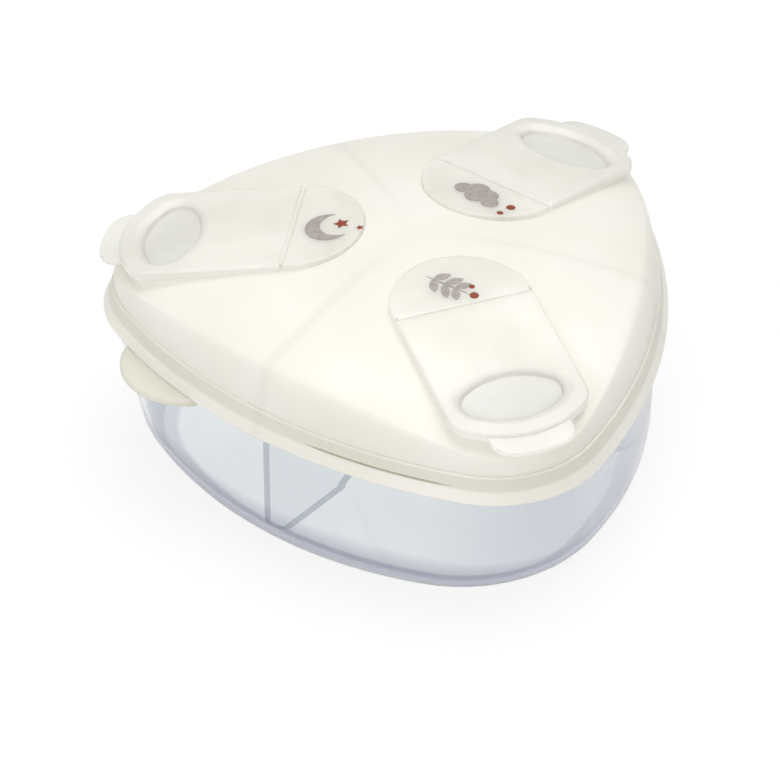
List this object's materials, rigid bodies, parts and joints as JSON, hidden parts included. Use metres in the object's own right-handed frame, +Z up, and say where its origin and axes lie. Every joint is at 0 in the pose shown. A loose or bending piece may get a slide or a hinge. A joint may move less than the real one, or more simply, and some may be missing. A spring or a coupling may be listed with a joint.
{
  "type": "milk powder container",
  "caption": "Rounded triangular food container with a clear bowl, a winged divider and a domed lid with flip caps over its pouring spouts.",
  "frame": {"origin": "centre of the bowl's flat underside, on the axis that the three corners share", "axes": "+Z up through the lid's dome, -Y towards one corner and its flip cap"},
  "size_m": [0.1403, 0.1348, 0.0606],
  "materials": {
    "clear_plastic": "clear gloss",
    "lid_plastic": "milky satin",
    "cap_plastic": "milky translucent"
  },
  "bodies": {
    "bowl": {"bowl": "clear_plastic"},
    "divider": {"divider": "clear_plastic"},
    "lid": {"lid": "lid_plastic", "cap_anchor_front": "cap_plastic", "cap_hinge_front": "cap_plastic", "cap_anchor_right": "cap_plastic", "cap_hinge_right": "cap_plastic", "cap_anchor_left": "cap_plastic", "cap_hinge_left": "cap_plastic"},
    "flap_front": {"cap_flap_front": "cap_plastic"},
    "flap_right": {"cap_flap_right": "cap_plastic"},
    "flap_left": {"cap_flap_left": "cap_plastic"}
  },
  "joints": [
    {"name": "lid_lift", "type": "slide", "parent": "bowl", "child": "lid", "axis": [0, 0, 1], "range_m": [0, 0.09]},
    {"name": "divider_lift", "type": "slide", "parent": "bowl", "child": "divider", "axis": [0, 0, 1], "range_m": [0, 0.045]},
    {"name": "flap_front_hinge", "type": "hinge", "parent": "lid", "child": "flap_front", "pos_m": [0, -0.0293, 0.0588], "axis": [-1, 0, 0], "range_deg": [0, 120]},
    {"name": "flap_right_hinge", "type": "hinge", "parent": "lid", "child": "flap_right", "pos_m": [0.02538, 0.01465, 0.0588], "axis": [0.5, -0.866, 0], "range_deg": [0, 120]},
    {"name": "flap_left_hinge", "type": "hinge", "parent": "lid", "child": "flap_left", "pos_m": [-0.02538, 0.01465, 0.0588], "axis": [0.5, 0.866, 0], "range_deg": [0, 120]}
  ],
  "couplings": [
    {"joint": "divider_lift", "follows": "lid_lift", "ratio": 0.5}
  ]
}
